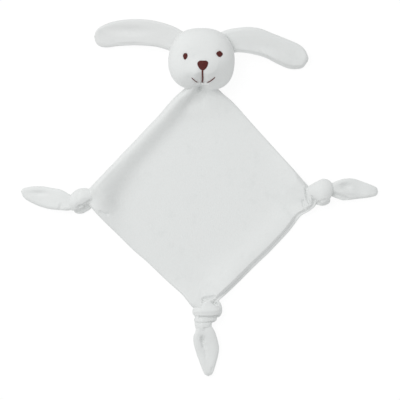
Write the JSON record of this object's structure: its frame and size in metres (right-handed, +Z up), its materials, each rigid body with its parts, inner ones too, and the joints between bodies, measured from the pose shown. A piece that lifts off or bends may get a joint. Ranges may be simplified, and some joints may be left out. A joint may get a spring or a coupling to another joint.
{
  "type": "comfort blanket with rabbit head",
  "caption": "Soft rabbit head with long flat ears sewn to the corner of a thin two-layer square blanket whose other corners are knotted.",
  "frame": {"origin": "middle of the square blanket, on the table plane that its back layer rests on", "axes": "+Y from the blanket to the rabbit's head, +X to the right seen from above, +Z up off the table"},
  "size_m": [0.3568, 0.3568, 0.0503],
  "materials": {
    "white_velour": "short brushed pile, soft sheen",
    "polyester_filling": "loose fibre",
    "brown_thread": "satin stitched rayon thread"
  },
  "bodies": {
    "blanket": {"blanket_front_panel": "white_velour", "blanket_back_panel": "white_velour"},
    "head": {"head_front_panel": "white_velour", "head_back_panel": "white_velour", "head_filling": "polyester_filling", "eye_left": "brown_thread", "eye_right": "brown_thread", "nose": "brown_thread", "lip_line": "brown_thread", "smile_left": "brown_thread", "smile_right": "brown_thread"},
    "ear_left": {"ear_left_front_panel": "white_velour", "ear_left_back_panel": "white_velour"},
    "ear_right": {"ear_right_front_panel": "white_velour", "ear_right_back_panel": "white_velour"},
    "knot_left": {"knot_left": "white_velour"},
    "knot_right": {"knot_right": "white_velour"},
    "knot_bottom": {"knot_bottom": "white_velour"},
    "tip_left": {"tip_left": "white_velour"},
    "tip_right": {"tip_right": "white_velour"},
    "tip_bottom": {"tip_bottom": "white_velour"}
  },
  "joints": [
    {"name": "head_nod", "type": "hinge", "parent": "blanket", "child": "head", "pos_m": [0.0006, 0.106, 0.0196], "axis": [1, 0, 0], "range_deg": [-18, 100]},
    {"name": "ear_left_flop", "type": "hinge", "parent": "head", "child": "ear_left", "pos_m": [-0.02888, 0.15962, 0.022], "axis": [0.6251, 0.7805, 0], "range_deg": [-70, 105]},
    {"name": "ear_right_flop", "type": "hinge", "parent": "head", "child": "ear_right", "pos_m": [0.03122, 0.15809, 0.022], "axis": [0.5712, -0.8208, 0], "range_deg": [-70, 105]},
    {"name": "knot_left_flop", "type": "hinge", "parent": "blanket", "child": "knot_left", "pos_m": [-0.1053, -0.0015, 0.00875], "axis": [0, 1, 0], "range_deg": [-45, 95]},
    {"name": "tip_left_flop", "type": "hinge", "parent": "knot_left", "child": "tip_left", "pos_m": [-0.13792, -0.00218, 0.00875], "axis": [0.2419, 0.9703, 0], "range_deg": [-80, 65]},
    {"name": "knot_right_flop", "type": "hinge", "parent": "blanket", "child": "knot_right", "pos_m": [0.10087, -0.00132, 0.00875], "axis": [0.2588, -0.9659, 0], "range_deg": [-45, 95]},
    {"name": "tip_right_flop", "type": "hinge", "parent": "knot_right", "child": "tip_right", "pos_m": [0.13341, 0.00694, 0.00875], "axis": [-0.0698, -0.9976, 0], "range_deg": [-80, 65]},
    {"name": "knot_bottom_flop", "type": "hinge", "parent": "blanket", "child": "knot_bottom", "pos_m": [0.005, -0.0998, 0.00875], "axis": [-1, 0, 0], "range_deg": [-45, 95]},
    {"name": "tip_bottom_flop", "type": "hinge", "parent": "knot_bottom", "child": "tip_bottom", "pos_m": [0.0041, -0.13404, 0.00875], "axis": [-0.9945, -0.1045, 0], "range_deg": [-80, 65]}
  ]
}
